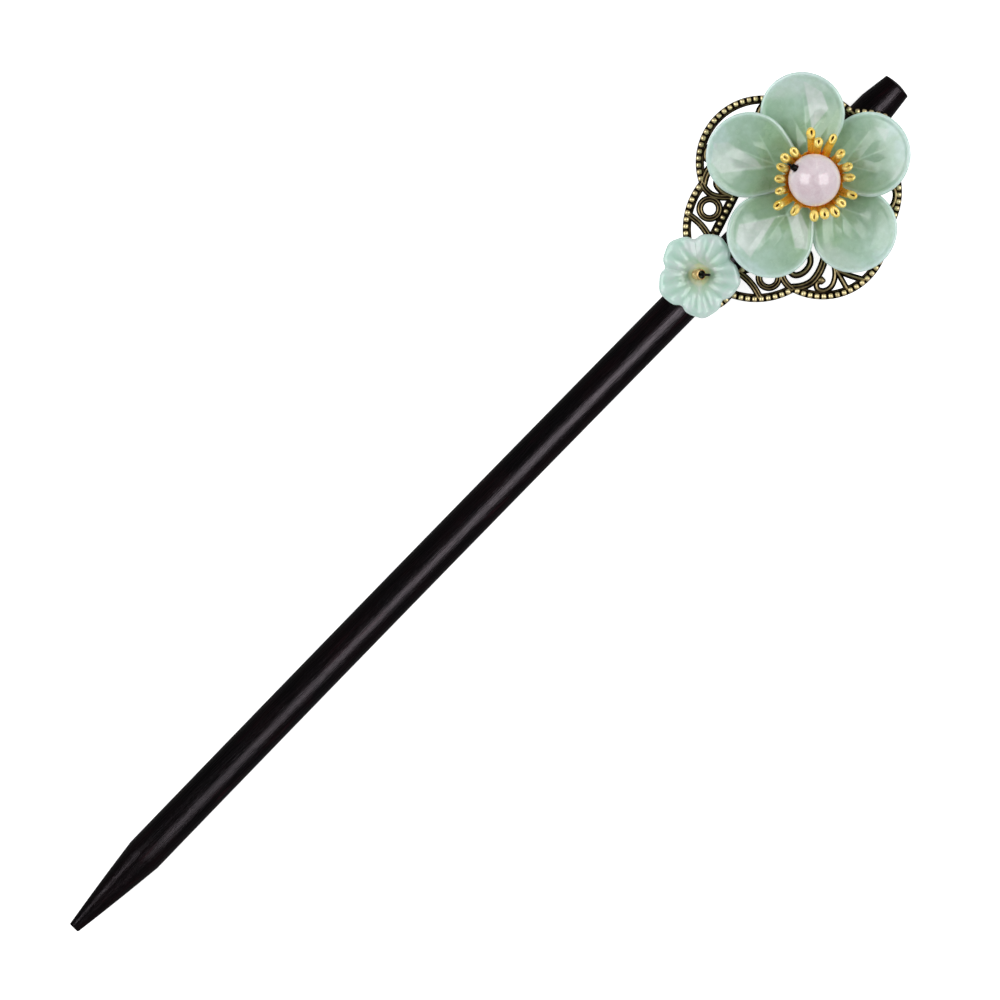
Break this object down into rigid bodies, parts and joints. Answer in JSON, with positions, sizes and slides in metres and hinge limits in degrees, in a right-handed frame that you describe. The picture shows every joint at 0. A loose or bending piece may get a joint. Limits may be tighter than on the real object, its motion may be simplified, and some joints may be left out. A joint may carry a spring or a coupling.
{
  "type": "decorative hair pin",
  "caption": "Tapered wooden hair stick whose head carries a pierced brass plate, a wired glass-petal flower with gilt stamens round a stone bead, and a smaller pressed-glass flower.",
  "frame": {"origin": "centre of the flat face on the stick's tapered tip, on the stick's own axis", "axes": "+X along the stick from tip to head, +Z the way the flowers face, +Y completes the right-handed frame"},
  "size_m": [0.18, 0.0345, 0.0193],
  "materials": {
    "wood": "near-black polished wood",
    "plate_brass": "antiqued brass, dark in the recesses and rubbed pale on the high spots",
    "lashing_wire": "antiqued brass wire",
    "gilt": "bright gilt",
    "gilt_wire": "bright gilt wire",
    "dark_wire": "blackened wire",
    "gilt_seed": "polished gilt",
    "rose_stone": "polished pale pink stone",
    "petal_glass": "milky jade-green pressed glass",
    "pressed_glass": "milky pale jade pressed glass"
  },
  "bodies": {
    "pin": {"stick": "wood", "filigree_plate": "plate_brass", "lashing_shank": "lashing_wire", "lashing_head": "lashing_wire", "petal_1": "petal_glass", "petal_2": "petal_glass", "petal_3": "petal_glass", "petal_4": "petal_glass", "petal_5": "petal_glass", "petal_wire_1": "gilt_wire", "petal_wire_2": "gilt_wire", "petal_wire_3": "gilt_wire", "petal_wire_4": "gilt_wire", "petal_wire_5": "gilt_wire", "stamen_crown": "gilt", "bead_wire": "dark_wire", "bead_sleeve": "dark_wire", "seed_bead": "gilt_seed", "small_flower_wire": "dark_wire"},
    "bead": {"centre_bead": "rose_stone"},
    "blossom": {"small_flower": "pressed_glass"}
  },
  "joints": [
    {"name": "centre_bead_spin", "type": "hinge", "parent": "pin", "child": "bead", "pos_m": [0.1608, -0.00125, 0.01205], "axis": [-0.1919, 0.8445, 0.5], "continuous": true},
    {"name": "small_flower_spin", "type": "hinge", "parent": "pin", "child": "blossom", "pos_m": [0.1382, 0.0013, 0.0043], "axis": [0, 0, 1], "continuous": true}
  ]
}
